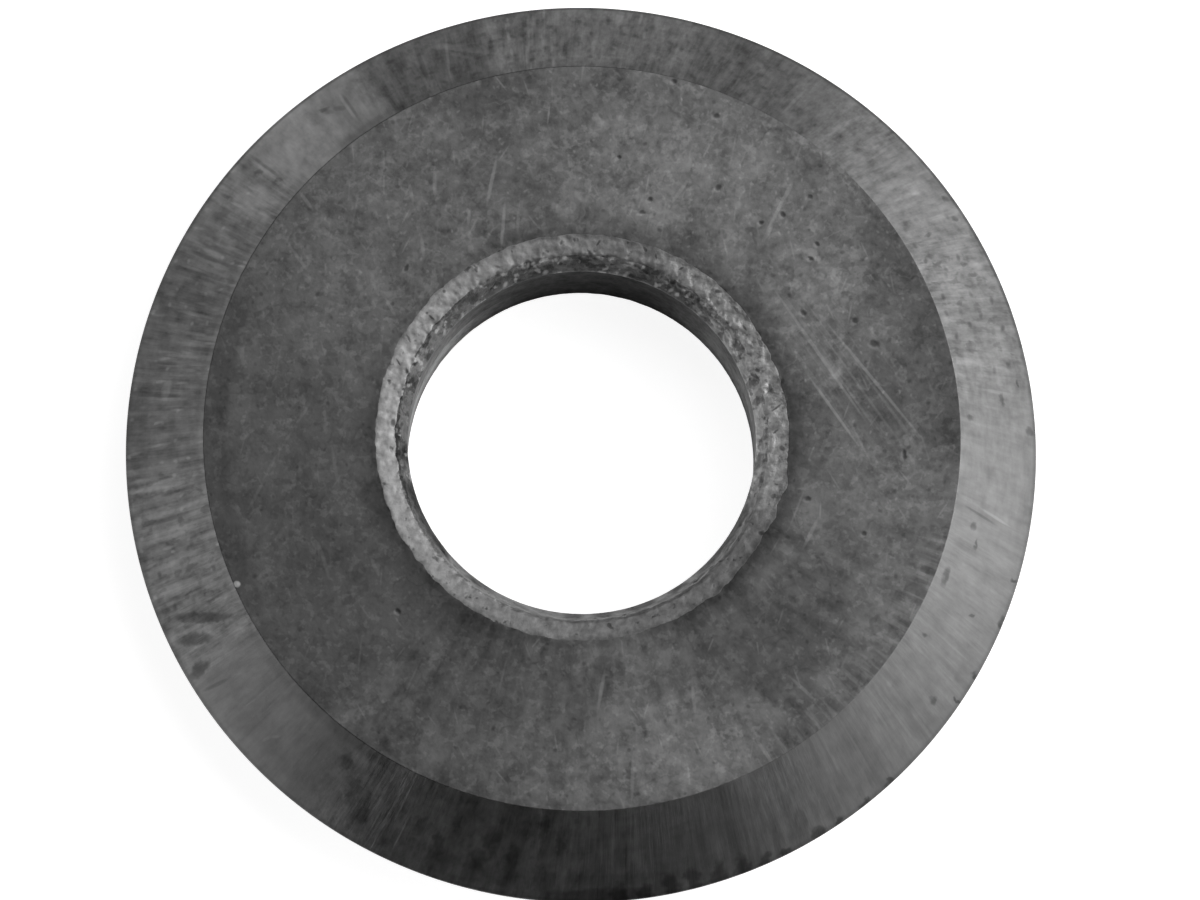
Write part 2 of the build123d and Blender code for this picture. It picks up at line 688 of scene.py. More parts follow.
face_light_and_tone_patches = [
    Patch(Mark(-3.6, -2.8, 8.0, 4.6, -50), 0.76),
    Patch(Mark(-5.0, 0.3, 4.6, 2.8, 85), 0.92),
    Patch(Mark(-4.2, 2.5, 2.8, 2.2, 60), 1.16),
    Patch(Mark(-1.9, -3.5, 3.0, 1.0, -30), 0.76),
    Patch(Mark(-6.15, 0.9, 1.6, 0.7, 82), 0.84),
    Patch(Mark(4.0, 0.0, 2.4, 1.2, 88), 0.82),
    Patch(Mark(-2.4, -3.1, 1.6, 1.0, -37), 0.84),
    Patch(Mark(0.5, -3.9, 1.4, 0.8, 8), 0.86),
    Patch(Mark(3.1, -3.6, 4.2, 2.6, 40), 0.68),
    Patch(Mark(5.3, 0.7, 2.6, 2.0, 80), 0.74),
    Patch(Mark(4.3, -2.5, 3.0, 1.6, 60), 0.86),
    Patch(Mark(-0.6, -4.6, 3.2, 1.6), 0.80),
    Patch(Mark(-1.0, -6.1, 3.4, 0.9), 1.16),
    Patch(Mark(1.6, -5.4, 4.6, 2.6, 15), 1.34),
    Patch(Mark(1.6, 4.7, 5.6, 2.6, -15), 1.25),
    Patch(Mark(-1.3, 4.5, 2.2, 1.4), 0.88),
    Patch(Mark(4.1, 2.9, 2.0, 1.6, -50), 1.2),
    Patch(Mark(-1.5, 6.1, 2.4, 1.0, 12), 0.70),
]

face_pits = [
    Mark(2.37, 5.74, 0.17, 0.14),
    Mark(2.40, 4.45, 0.16, 0.14, 40),
    Mark(4.00, 4.29, 0.14, 0.13),
    Mark(3.53, 3.97, 0.16, 0.11, -60),
    Mark(3.14, 3.83, 0.12, 0.11),
    Mark(1.20, 4.24, 0.13, 0.12),
    Mark(0.65, 4.99, 0.11, 0.10),
    Mark(1.06, 4.01, 0.18, 0.10),
    Mark(4.02, 3.19, 0.13, 0.10, -20),
    Mark(4.12, 3.45, 0.14, 0.09, -50),
    Mark(3.88, 2.22, 0.18, 0.12, -35),
    Mark(4.79, 2.08, 0.16, 0.14),
    Mark(5.12, 1.67, 0.24, 0.17, -20),
    Mark(1.62, 6.36, 0.13, 0.11),
    Mark(5.63, -0.31, 0.11, 0.24),
    Mark(3.95, -1.09, 0.16, 0.13),
    Mark(4.92, -1.71, 0.15, 0.12),
    Mark(-3.07, 3.01, 0.18, 0.12, 60),
    Mark(-3.20, -3.09, 0.16, 0.10, -45),
]

long_face_scratches = [
    Mark(4.16, 1.46, 3.2, 0.080, -55.8),
    Mark(5.09, 1.03, 3.1, 0.075, -51.2),
    Mark(4.38, 0.49, 1.9, 0.070, -55.0),
    Mark(-1.58, 4.56, 1.1, 0.085, 78.7),
    Mark(-1.38, 3.78, 1.0, 0.085, 85.6),
]

face_scratches = [
    Mark(3.61, 4.38, 0.50, 0.10, 64),
    Mark(3.27, 3.66, 0.45, 0.10, 64),
    Mark(3.42, 4.02, 1.50, 0.08, 64),
    Mark(1.72, 4.38, 0.65, 0.09, 55),
    Mark(3.99, -1.70, 0.76, 0.09, 64),
    Mark(-3.00, 4.37, 0.50, 0.09, -78),
    Mark(-2.58, 4.54, 0.65, 0.09, 90),
    Mark(-2.79, 3.38, 0.45, 0.09, -83),
    Mark(-4.83, 4.20, 0.55, 0.09, -55),
    Mark(-1.12, 3.84, 0.47, 0.08, 88),
    Mark(-1.98, 3.91, 0.35, 0.08, 85),
    Mark(-3.35, 2.30, 0.40, 0.08, -60),
    Mark(-4.95, 3.16, 0.55, 0.08, -55),
    Mark(0.33, -4.49, 0.90, 0.09, 80),
    Mark(1.94, -4.64, 0.60, 0.09, -85),
    Mark(0.87, -6.05, 0.95, 0.09, 88),
    Mark(3.84, -4.46, 0.80, 0.08, -43),
    Mark(3.18, -5.58, 0.60, 0.09, -55),
]

faint_face_scratches = [
    Mark(-4.88, 0.40, 0.60, 0.08, 57),
    Mark(-5.18, -0.08, 0.50, 0.07, 57),
    Mark(-5.45, -0.55, 0.60, 0.08, 63),
    Mark(-5.72, -1.10, 0.70, 0.08, 64),
    Mark(-4.31, -0.55, 0.90, 0.09, -80),
    Mark(-4.50, -2.21, 0.80, 0.09, -74),
    Mark(-3.62, -2.30, 0.55, 0.09, -66),
]


def ground_bevel():
    """The bevels: ground across the edge, so that fine lines run out from the face to the rim."""
    coat = Finish("ground_bevel", 0.12)
    places = coat.unrolled(lean=-6.0)
    mottle = coat.grain(places, (4.0, 4.0, 2.8), 4, rough=0.62)
    wisps = coat.grain(places, (1.8, 1.8, 6.5), 8, rough=0.6)
    lines = coat.grain(places, (10.0, 10.0, 0.8), 5, rough=0.6)
    bars = coat.grain(places, (2.6, 2.6, 0.3), 6, detail=2.0)

    # The grinding marks are faint along the near right of the upper bevel, and on three short stretches
    smooth = coat.sectors((-75, 8, 30), (121, 138, 6), (211, 236, 6), (-136, -126, 6))
    calm = coat.ramp(smooth, 0.0, 1.0, 1.0, 0.35)
    left = coat.sector(138, 206, 12)
    coat.vary(mottle, 0.48, calm)
    coat.vary(mottle, -0.20, coat.sector(-129, -72, 16))
    coat.vary(wisps, 0.16, calm)
    coat.vary(wisps, 0.12, coat.sector(-10, 14, 10))
    coat.vary(lines, 0.14, calm)
    coat.vary(lines, 0.07, coat.sectors((-92, -8, 10), (211, 236, 6)))
    coat.vary(lines, 0.16, coat.any_of([coat.sector(62, 120, 8), left]))
    coat.vary(coat.ramp(bars, -0.1, 0.35), 0.10, left)
    coat.vary(mottle, 0.12, coat.sector(60, 120, 8))
    coat.vary(mottle, 0.15, coat.sector(121, 138, 6))
    fine = coat.grain(places, (8.0, 8.0, 6.0), 19, detail=2.0, rough=0.7)
    coat.vary(fine, 0.25, coat.sectors((44, 120, 8), (-129, -90, 16)))
    # Painted light and shade round the bevel, each stretch with its own level, together with stretches of
    # the bevel's own finish
    coat.shade_sectors(bevel_light_and_finish)

    nick_bevel(coat, places, left)
    mark_bevel(coat)
    edge_bevel(coat)
    coat.raise_by(lines, 0.002, calm)
    coat.raise_by(mottle, 0.0015)
    roughness = coat.math("MULTIPLY_ADD", bars, 0.05, 0.42)
    return coat.close(roughness)


def nick_bevel(coat, places, left):
    """Dark blotches, dark nicks along the edge, bright dashes across it, and specks of bare metal."""
    blobs = coat.ramp(coat.grain(places, (5.5, 5.5, 4.5), 7, detail=2.0), 0.25, 0.6)
    coat.shade(blobs, 0.75, coat.sectors(*blotched_stretches))
    nicks = coat.scattered(coat.arc, 3.4, 9, (0.20, 0.11), 8, 24, 0.8)
    coat.shade(nicks, 0.55, coat.sectors(*nicked_stretches))
    dashes = coat.scattered(coat.arc, 2.6, 5, (0.32, 0.08), 90, 10, 0.7)
    coat.vary(dashes, 0.45, coat.sectors(*dashed_stretches))
    specks = coat.scattered(coat.arc, 3.8, 16, (0.12, 0.09), 0, 90, 0.5)
    coat.vary(specks, 0.50, left)


def mark_bevel(coat):
    """The marks that are placed on the upper bevel."""
    ragged = coat.ragged(coat.arc, 6.0, 4.0, (0.06, 0.07))
    torn = coat.ragged(coat.arc, 5.0, 7.0, (0.14, 0.11))
    coat.shade(coat.strokes(bevel_skin, ragged, soft=0.6), 0.50)
    coat.shade(coat.strokes(rim_ticks, torn, soft=0.9), 0.46)
    coat.shade(coat.strokes(bevel_clouds, torn, soft=0.95), 0.60)
    coat.shade(coat.strokes(bevel_pits, ragged, soft=0.9), 0.56)
    coat.shade(coat.strokes(bevel_dark_lines, soft=0.9), 0.70)
    coat.vary(coat.strokes(bevel_bright_patches, ragged, soft=0.7), 0.30)
    coat.vary(coat.strokes(bevel_bars, ragged, soft=0.6), 0.30)
    coat.vary(coat.strokes(bevel_bright_lines, soft=0.9), 0.30)
    coat.vary(coat.strokes(bevel_faint_lines, soft=0.9), 0.13)


def edge_bevel(coat):
    """A line along the face edge, dark in some stretches and light in others, and a darker rim and tip."""
    beside_face = coat.band(6.85, 6.72)
    coat.shade(beside_face, 0.82, coat.sectors((-145, -120, 10), (214, 240, 10)))
    coat.shade(beside_face, 0.85, coat.sector(57, 150, 6))
    coat.shade(coat.band(6.95, 6.70), 0.72, coat.sector(120, 129, 3))
    coat.shade(coat.band(7.2, 6.8), 1.2, coat.sector(-91, -71, 6))
    coat.vary(coat.band(6.74, 6.66), 0.15, coat.sector(150, 204, 12))
    tip = coat.band(7.92, 7.97)
    coat.shade(tip, 0.8)
    coat.shade(tip, 0.6, coat.sector(15, 150, 20))
    coat.shade(coat.band(7.45, 7.7), 0.76, coat.sector(-118, -76, 12))
    coat.shade(coat.band(7.4, 7.8), 0.84, coat.sector(136, 184, 8))


# Stretches of the upper bevel, by angle round the wheel

blotched_stretches = [(10, 30, 6), (60, 120, 6), (184, 206, 6)]

nicked_stretches = [(9, 34, 6), (194, 204, 4), (60, 118, 6)]

dashed_stretches = [(78, 104, 6), (140, 204, 8), (36, 52, 6)]

# Levels round the upper bevel: painted light and shade, the strongest being painted light on the near side
# where the black card darkens what the metal reflects, and stretches of the bevel's own finish
bevel_light_and_finish = [
    Sector(-130, -121, 8, 1.1),
    Sector(-121, -115, 4, 0.88),
    Sector(-106, -100, 4, 0.94),
    Sector(-36, -31, 4, 1.06),
    Sector(-118.5, -102.5, 5, 2.3),
    Sector(-102.5, -92, 5, 2.1),
    Sector(-92, -80.5, 6, 2.2),
    Sector(-79, -71, 5, 1.9),
    Sector(-71, -62, 6, 1.75),
    Sector(-63, -46, 6, 0.78),
    Sector(-48, -32, 8, 0.95),
    Sector(22, 46, 8, 1.34),
    Sector(46, 53, 5, 1.1),
    Sector(53, 59, 4, 0.76),
    Sector(59, 75, 4, 0.58),
    Sector(75, 103, 6, 0.71),
    Sector(103, 112, 3, 0.46),
    Sector(112, 120, 3, 0.52),
    Sector(120, 128, 2, 1.18),
    Sector(128, 138, 4, 1.5),
    Sector(138, 146, 4, 1.15),
    Sector(146, 158, 4, 0.86),
    Sector(158, 172, 5, 0.74),
    Sector(172, 183, 5, 0.68),
    Sector(183, 204, 4, 0.84),
    Sector(195, 203, 4, 1.12),
    Sector(204, 209, 4, 0.92),
    Sector(204, 229, 4, 1.35),
    Sector(214, 224, 6, 1.08),
]

# Places on the upper bevel

bevel_skin = [
    Stroke(205.0, 7.31, 1.35, 0.22, -33),
    Stroke(206.8, 7.58, 0.80, 0.26, -29),
    Stroke(210.4, 7.76, 0.50, 0.27),
    Stroke(-88.0, 7.95, 0.40, 2.00),
]

rim_ticks = [
    Stroke(-85.2, 7.93, 0.54, 0.32),
    Stroke(-82.0, 7.93, 0.54, 0.32),
    Stroke(-78.6, 7.90, 0.56, 0.36, 10),
    Stroke(-75.6, 7.90, 0.56, 0.34),
    Stroke(-72.2, 7.91, 0.54, 0.34, -10),
    Stroke(-69.2, 7.91, 0.50, 0.34),
    Stroke(-66.0, 7.96, 0.34, 0.26),
    Stroke(-63.4, 7.98, 0.28, 0.24),
    Stroke(-58.4, 7.96, 0.32, 0.30),
    Stroke(-55.6, 7.98, 0.20, 0.20),
    Stroke(-51.4, 7.98, 0.20, 0.24),
    Stroke(-47.4, 7.98, 0.18, 0.20),
    Stroke(-34.0, 7.96, 0.20, 0.10),
    Stroke(-30.0, 7.96, 0.18, 0.20),
    Stroke(-22.4, 7.97, 0.14, 0.24),
    Stroke(-16.8, 7.94, 0.22, 0.14, 20),
]

bevel_clouds = [
    Stroke(-126.0, 7.00, 0.34, 0.32),
    Stroke(-123.3, 7.28, 0.45, 0.38),
    Stroke(-120.5, 7.60, 0.34, 0.34),
    Stroke(-112.5, 7.35, 0.45, 0.28),
    Stroke(-109.5, 7.50, 0.50, 0.28),
    Stroke(-104.0, 7.55, 0.40, 0.40),
    Stroke(-102.5, 7.20, 0.55, 0.45),
    Stroke(-99.5, 7.42, 0.60, 0.34),
    Stroke(-95.5, 6.86, 0.34, 0.30),
    Stroke(-93.0, 7.15, 0.50, 0.24),
    Stroke(115.3, 7.52, 0.36, 0.28),
]

bevel_pits = [
    Stroke(6.4, 7.42, 0.11, 0.28),
    Stroke(3.2, 6.80, 0.12, 0.22, 60),
    Stroke(2.6, 7.90, 0.20, 0.20),
    Stroke(8.8, 7.77, 0.06, 0.20),
    Stroke(24.2, 7.55, 0.26, 0.12),
    Stroke(26.8, 7.00, 0.26, 0.10, 30),
    Stroke(26.8, 6.98, 0.26, 0.08, -50),
    Stroke(31.4, 7.13, 0.20, 0.12),
    Stroke(32.2, 7.80, 0.18, 0.12),
    Stroke(35.2, 7.86, 0.14, 0.16),
    Stroke(-12.4, 7.00, 0.14, 0.20),
    Stroke(-14.6, 7.12, 0.07, 0.24),
    Stroke(-21.0, 6.80, 0.16, 0.50),
    Stroke(-23.8, 7.45, 0.16, 0.05, 20),
    Stroke(-30.0, 6.90, 0.12, 0.10),
    Stroke(-36.0, 7.62, 0.16, 0.18),
    Stroke(126.8, 7.56, 0.22, 0.12, 60),
    Stroke(139.2, 7.50, 0.24, 0.12, 30),
    Stroke(138.7, 7.08, 0.20, 0.14, 50),
]

bevel_dark_lines = [
    Stroke(213.4, 7.65, 0.60, 0.09, -15),
    Stroke(186.9, 7.28, 1.20, 0.12, -2),
    Stroke(190.4, 7.30, 1.30, 0.11, -2),
    Stroke(148.8, 7.15, 0.80, 0.10, -5),
    Stroke(151.4, 7.35, 1.00, 0.11, -7),
    Stroke(153.0, 7.35, 0.90, 0.11, -7),
    Stroke(155.4, 7.50, 0.80, 0.10, -5),
    Stroke(159.2, 7.20, 1.20, 0.28, -4),
    Stroke(173.2, 7.35, 0.90, 0.09, -5),
    Stroke(168.6, 7.45, 0.70, 0.08, -4),
    Stroke(123.9, 7.30, 0.80, 0.09, -7),
    Stroke(125.2, 7.38, 0.30, 0.16, 52),
    Stroke(126.7, 7.47, 0.30, 0.14, 40),
    Stroke(138.0, 7.45, 1.00, 0.09, -5),
    Stroke(106.6, 7.48, 0.55, 0.12, 62),
    Stroke(109.4, 7.35, 1.10, 0.10, -14),
    Stroke(112.4, 7.30, 1.20, 0.12, -6),
    Stroke(96.2, 7.35, 0.60, 0.14, -10),
    Stroke(-10.5, 7.10, 0.80, 0.07, -12),
]

bevel_bright_patches = [
    Stroke(102.3, 7.10, 0.45, 0.28),
    Stroke(107.5, 7.50, 1.40, 0.20, 60),
    Stroke(143.0, 7.22, 0.90, 0.95),
    Stroke(38.5, 7.35, 1.20, 0.32),
    Stroke(172.5, 7.35, 0.20, 0.50),
]

bevel_bars = [
    Stroke(185.6, 7.34, 1.45, 0.22, -2),
    Stroke(189.1, 7.34, 1.45, 0.22, -2),
    Stroke(192.2, 7.36, 1.35, 0.24, -4),
    Stroke(196.0, 7.40, 1.20, 0.24),
    Stroke(200.0, 7.35, 1.20, 0.28, -16),
]

bevel_bright_lines = [
    Stroke(45.0, 7.45, 0.60, 0.08),
    Stroke(58.6, 7.15, 1.00, 0.08, -5),
    Stroke(78.8, 7.72, 0.60, 0.13, -8),
    Stroke(88.1, 7.25, 1.00, 0.13, -8),
    Stroke(97.6, 7.15, 1.00, 0.10, -10),
    Stroke(95.2, 7.40, 0.60, 0.10, -8),
    Stroke(101.2, 7.05, 0.50, 0.16, -10),
    Stroke(108.7, 7.35, 1.10, 0.07, -14),
    Stroke(124.3, 7.28, 0.85, 0.09, -7),
    Stroke(138.5, 7.40, 1.10, 0.10, -5),
    Stroke(150.6, 7.40, 0.80, 0.10, -7),
    Stroke(152.2, 7.30, 0.60, 0.12, -7),
    Stroke(153.8, 7.10, 0.60, 0.12, -7),
    Stroke(155.0, 7.55, 0.70, 0.08, -5),
    Stroke(161.4, 7.15, 0.80, 0.09, -6),
    Stroke(164.2, 7.05, 0.55, 0.09, -4),
    Stroke(167.6, 7.15, 0.80, 0.08, -4),
    Stroke(173.8, 7.20, 0.80, 0.08, -4),
    Stroke(223.3, 7.56, 0.22, 0.08, -24),
    Stroke(224.0, 7.44, 0.20, 0.07, -49),
    Stroke(-10.0, 7.35, 0.70, 0.07, -12),
]

bevel_faint_lines = [
    Stroke(-69.4, 7.25, 1.30, 0.26, -6),
    Stroke(-52.0, 7.10, 0.80, 0.07, -5),
    Stroke(-48.4, 7.25, 1.30, 0.06, -5),
    Stroke(-43.0, 7.05, 0.60, 0.07, -5),
    Stroke(-41.3, 7.35, 1.30, 0.06, -5),
    Stroke(-40.8, 7.30, 0.90, 0.06, -5),
    Stroke(-38.9, 6.88, 0.14, 0.14),
    Stroke(-32.2, 6.95, 0.60, 0.07, -5),
    Stroke(-28.8, 7.35, 1.00, 0.06, -5),
    Stroke(-9.0, 6.85, 0.50, 0.10, -12),
    Stroke(7.5, 7.30, 0.90, 0.08, -5),
    Stroke(88.5, 6.86, 0.08, 2.20),
    Stroke(107.0, 7.28, 0.10, 0.80, -40),
    Stroke(106.5, 7.52, 0.08, 0.70, -12),
    Stroke(131.0, 7.30, 1.20, 0.20, -35),
    Stroke(134.5, 7.30, 1.20, 0.16, -30),
    Stroke(185.0, 6.95, 0.60, 0.06),
    Stroke(180.0, 7.30, 1.30, 0.06),
    Stroke(169.0, 7.20, 1.20, 0.06),
    Stroke(166.0, 7.00, 0.70, 0.06),
]


def sintered_skin(coat, spread, depth):
    """The skin of the blank: pale soft grains and dark flecks, in relief so many millimetres deep."""
    lumps = coat.grain(coat.place, 4.0, 7, detail=4.0, rough=0.6)
    flecks = coat.ramp(coat.grain(coat.place, 6.0, 8, detail=2.0), 0.45, 0.95)
    coat.vary(lumps, spread)
    coat.shade(flecks, 0.5)
    coat.raise_by(lumps, depth)
    coat.raise_by(flecks, -depth)


def pressed_ring():
    """The pale ring round the bore, a little broken up at its far right."""
    coat = Finish("pressed_ring", 0.26, (ring_inner_radius + ring_outer_radius) / 2)
    sintered_skin(coat, 0.20, 0.003)

    # Broken up into bright lumps and dark gaps
    broken = coat.sector(-20, 60, 50)
    lumps = coat.grain(coat.place, 8.0, 14, detail=2.0)
    gaps = coat.ramp(coat.grain(coat.place, 5.0, 10, rough=0.7), 0.2, 0.5)
    coat.vary(lumps, 0.13)
    coat.vary(lumps, 0.14, broken)
    coat.shade(gaps, 0.66, broken)
    coat.raise_by(lumps, 0.003, broken)
    ragged = coat.ragged(coat.arc, 12.0, 6.0, (0.015, 0.015))
    coat.shade(coat.strokes(ring_pits, ragged, soft=0.7), 0.42)

    # The outer edge darkens raggedly towards the face
    wobble = coat.grain(coat.place, 5.0, 15)
    edge = coat.math("MULTIPLY_ADD", wobble, 0.08, coat.radius)
    coat.shade(coat.ramp(edge, 3.51, 3.63), 0.62)

    # Painted shade on the worn inner corner of the far left, against the highlight its edge catches, and
    # painted light on it on the near side, where it would read as a dark line
    coat.shade(coat.band(3.33, 3.26), 0.75, coat.sector(100, 206, 20))
    coat.shade(coat.band(3.285, 3.262), 1.45, coat.sector(-129, -22, 16))
    coat.shade_sectors(ring_stretches)
    return coat.close(0.55)


# Stretches of the upper ring, by angle round the wheel, and dark places on it

ring_stretches = [
    Sector(-22, 62, 20, 1.6),
    Sector(-10, 22, 16, 1.12),
    Sector(190, 236, 20, 0.92),
    Sector(-150, -60, 20, 0.80),
    Sector(-55, -22, 12, 0.85),
]

ring_pits = [
    Stroke(-178.8, 3.43, 0.07, 0.06),
    Stroke(-175.5, 3.475, 0.16, 0.06, -40),
    Stroke(-173.7, 3.50, 0.10, 0.05, 30),
    Stroke(-162.7, 3.43, 0.15, 0.05, -40),
    Stroke(-152.7, 3.385, 0.15, 0.08, 30),
    Stroke(-138.9, 3.49, 0.12, 0.04, -20),
    Stroke(-28.5, 3.57, 0.16, 0.10, 20),
    Stroke(-17.4, 3.50, 0.12, 0.12),
    Stroke(-3.2, 3.50, 0.10, 0.14, 40),
    Stroke(1.8, 3.385, 0.15, 0.05, 35),
    Stroke(8.9, 3.45, 0.26, 0.05, 31),
    Stroke(15.0, 3.415, 0.08, 0.22),
    Stroke(21.3, 3.30, 0.13, 0.08, -40),
    Stroke(28.2, 3.54, 0.09, 0.20),
    Stroke(34.5, 3.45, 0.05, 0.16),
    Stroke(40.0, 3.53, 0.07, 0.20),
    Stroke(47.4, 3.53, 0.07, 0.16, 30),
    Stroke(60.0, 3.475, 0.14, 0.05, -30),
    Stroke(68.0, 3.47, 0.13, 0.05, 30),
    Stroke(85.2, 3.475, 0.16, 0.05, -30),
    Stroke(122.0, 3.50, 0.12, 0.06),
    Stroke(133.0, 3.54, 0.08, 0.07),
    Stroke(141.0, 3.385, 0.16, 0.05),
    Stroke(150.0, 3.50, 0.20, 0.06, -30),
    Stroke(157.5, 3.475, 0.18, 0.04, -35),
    Stroke(163.5, 3.52, 0.08, 0.06),
    Stroke(175.5, 3.31, 0.12, 0.18),
]


def rough_lead_in():
    """The steep mouth between the ring and the bore: dark and lumpy on its far side, pale on the near."""
    coat = Finish("rough_lead_in", 0.26, (bore_radius + ring_inner_radius) / 2)
    sintered_skin(coat, 0.35, 0.008)
    wobble = coat.grain(coat.place, 5.0, 11)
    depth = coat.math("MULTIPLY_ADD", wobble, 0.05, coat.radius)
    under = coat.ramp(depth, 3.24, 3.17)

    # Dark gaps between the lumps of the far side, deepest under its dark stretch
    gaps = coat.ramp(coat.grain(coat.place, (3.6, 3.6, 1.8), 16, detail=4.0, rough=0.65), -0.1, 0.35)
    far = coat.sector(-20, 196, 12)
    coat.shade(gaps, 0.50, far)
    coat.shade_sectors(mouth_stretches)
    coat.shade(coat.ramp(wobble, 0.0, 0.4), 0.50, coat.sector(146, 200, 12))
    # Painted shade on the far side as the mouth drops into the bore, blending into the dark far wall
    coat.shade(under, 0.45, coat.sector(44, 132, 26))
    # Painted shade along the corner under the ring, against the highlight its edge catches, together with
    # the dark gaps under the ring on the left
    coat.shade(coat.band(3.19, 3.25), 0.7, coat.sector(90, 130, 20))
    coat.shade(coat.ramp(depth, 3.19, 3.23), 0.45, coat.sector(128, 206, 20))

    # Painted light on the worn corner of the near side, which turns its back on the lights and would read
    # as a dark line
    corner = coat.both(coat.band(3.205, 3.225), coat.band(3.262, 3.245))
    coat.shade(corner, 1.2, coat.sector(-129, -22, 16))

    # Painted shade: a broken dark line where the edge of the hole rounds over, mostly on the near side, and
    # a darker mouth along one stretch of the left
    coat.shade(coat.ramp(depth, 3.21, 3.13), 0.40, coat.sectors(*shaded_edge_stretches))
    coat.shade(coat.ramp(depth, 3.27, 3.20), 0.55, coat.sector(193, 221, 4))

    # Bright lumps, partly paler grain and partly painted highlight, and painted glints where the lumps
    # would catch the light
    lumps = coat.ramp(coat.grain(coat.place, (5.0, 5.0, 2.8), 12, detail=2.0), 0.3, 0.75)
    coat.vary(lumps, 0.9, far)
    painted_sparks = coat.scattered(coat.arc, 5.0, 18, (0.16, 0.08), -25, 30, 0.5)
    coat.vary(painted_sparks, 1.2, coat.sector(-20, 156, 30))
    painted_glints = coat.scattered(coat.arc, 7.0, 21, (0.13, 0.07), -25, 60, 0.35)
    coat.vary(coat.both(painted_glints, coat.ramp(depth, 3.13, 3.19)), 1.5, coat.sector(48, 112, 20))
    return coat.close(0.6)


# Stretches of the lead-in, by angle round the wheel, and those of them with painted shade along the edge of
# the hole

mouth_stretches = [
    Sector(-16, 46, 20, 1.5),
    Sector(132, 206, 20, 0.82),
    Sector(160, 197, 12, 0.78),
]

shaded_edge_stretches = [
    (182, 187, 3),
    (194, 222, 4),
    (-129, -121, 5),
    (-96, -90, 3),
    (-86, -80, 4),
    (-76, -66, 4),
    (-60, -54, 3),
    (-49, -20, 5),
]


def bore_wall():
    """The wall of the bore: smooth, dull and dark. Painted shade makes it darkest at its far side, on the
    left and along its lower edge, and painted light makes it lighter lower down and on the right.
    """
    coat = Finish("bore_wall", 0.28)
    coat.surface.inputs["Metallic"].default_value = 0.0
    coat.surface.inputs["Specular IOR Level"].default_value = 0.0
    coat.vary(coat.grain(coat.place, 3.0, 9, detail=4.0), 0.25)
    coat.vary(coat.grain(coat.place, (9.0, 9.0, 6.0), 20, detail=2.0, rough=0.65), 0.24)
    towards_far = coat.node("SeparateXYZ", {0: coat.around}).outputs["Y"]
    # Painted light and shade by side and height
    farthest = coat.ramp(towards_far, 0.6, 1.0)
    lower = coat.ramp(coat.height, 0.8, -0.2)
    coat.shade(farthest, 0.4)
    coat.shade(lower, 1.5)
    coat.shade(farthest, 0.5, lower)
    coat.shade(coat.sector(112, 165, 30), 0.62)
    coat.shade(coat.ramp(coat.height, 0.2, -0.6), 0.6, coat.sector(124, 200, 16))
    coat.shade(coat.ramp(coat.height, -0.4, -0.9), 0.65)
    coat.shade(coat.sector(166, 200, 8), 0.72)
    coat.shade(coat.sector(-10, 24, 12), 1.5)
    return coat.close(0.7)


finish_of_zone = {
    "face": lapped_face,
    "bevel": ground_bevel,
    "ring": pressed_ring,
    "mouth": rough_lead_in,
    "wall": bore_wall,
}


# The piece

def make_wheel():
    """The dressed wheel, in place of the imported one."""
    wheel = bpy.data.objects.new("scoring_wheel", wheel_mesh("scoring_wheel"))
    bpy.context.scene.collection.objects.link(wheel)
    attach(wheel, list(frame["bodies"])[0])
    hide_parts("cutter_wheel")


# Floor, backdrop, light and camera

def seen_directly(nodes):
    """1 for what the camera sees straight or in a reflection, and 0 for light on its way to a surface."""
    path = nodes.node("LightPath").outputs
    return nodes.any_of([path["Is Camera Ray"], path["Is Glossy Ray"], path["Is Transmission Ray"]])


def far_away(nodes):
    """1 for what the camera sees of the floor far from the wheel, where the lamps no longer reach."""
    distance = nodes.length(nodes.node("TexCoord").outputs["Object"])
    far = nodes.ramp(distance, 20 * mm, 40 * mm, smooth=False)
    return nodes.both(far, nodes.node("LightPath").outputs["Is Camera Ray"])


def dull_material(name, grey):
    """A grey material without a shine."""
    material = bpy.data.materials.new(name)
    material.use_nodes = True
    surface = material.node_tree.nodes["Principled BSDF"]
    surface.inputs["Base Color"].default_value = (grey, grey, grey, 1.0)
    surface.inputs["Specular IOR Level"].default_value = 0.0
    return material


def add_mesh(name, points, faces, material):
    """Adds an object of one material to the scene."""
    mesh = bpy.data.meshes.new(name)
    mesh.from_pydata(points, [], faces)
    mesh.materials.append(material)
    made = bpy.data.objects.new(name, mesh)
    bpy.context.scene.collection.objects.link(made)
    return made


def make_floor():
    """A pale floor under the wheel, bright enough to read as white, with the wheel's shadow on it."""
    half = 0.5
    glow = 0.85
    height = -half_thickness
    material = dull_material("pale_floor", 0.6)
    surface = material.node_tree.nodes["Principled BSDF"]
    surface.inputs["Roughness"].default_value = 1.0
    surface.inputs["Emission Color"].default_value = (1.0, 1.0, 1.0, 1.0)
    nodes = Nodes(material.node_tree)
    near_glow = nodes.math("MULTIPLY", seen_directly(nodes), glow)
    nodes.feed(surface.inputs["Emission Strength"], nodes.math("MAXIMUM", near_glow, far_away(nodes)))
    corners = [(-half, -half, height), (half, -half, height), (half, half, height), (-half, half, height)]
    floor = add_mesh("floor", corners, [(0, 1, 2, 3)], material)


def make_world():
    """Even studio light from all round, in front of a white backdrop."""
    even_light = 0.08
    backdrop = 1.0
    world = bpy.data.worlds.new("studio")
    world.use_nodes = True
    background = world.node_tree.nodes["Background"]
    background.inputs["Color"].default_value = (1.0, 1.0, 1.0, 1.0)
    nodes = Nodes(world.node_tree)
    seen = nodes.node("LightPath").outputs["Is Camera Ray"]
    strength = nodes.node("Mix", {0: seen, 2: even_light, 3: backdrop}, data_type="FLOAT").outputs[0]
    nodes.feed(background.inputs["Strength"], strength)
    bpy.context.scene.world = world


Softbox = namedtuple("Softbox", "name angle elevation distance size radiance")

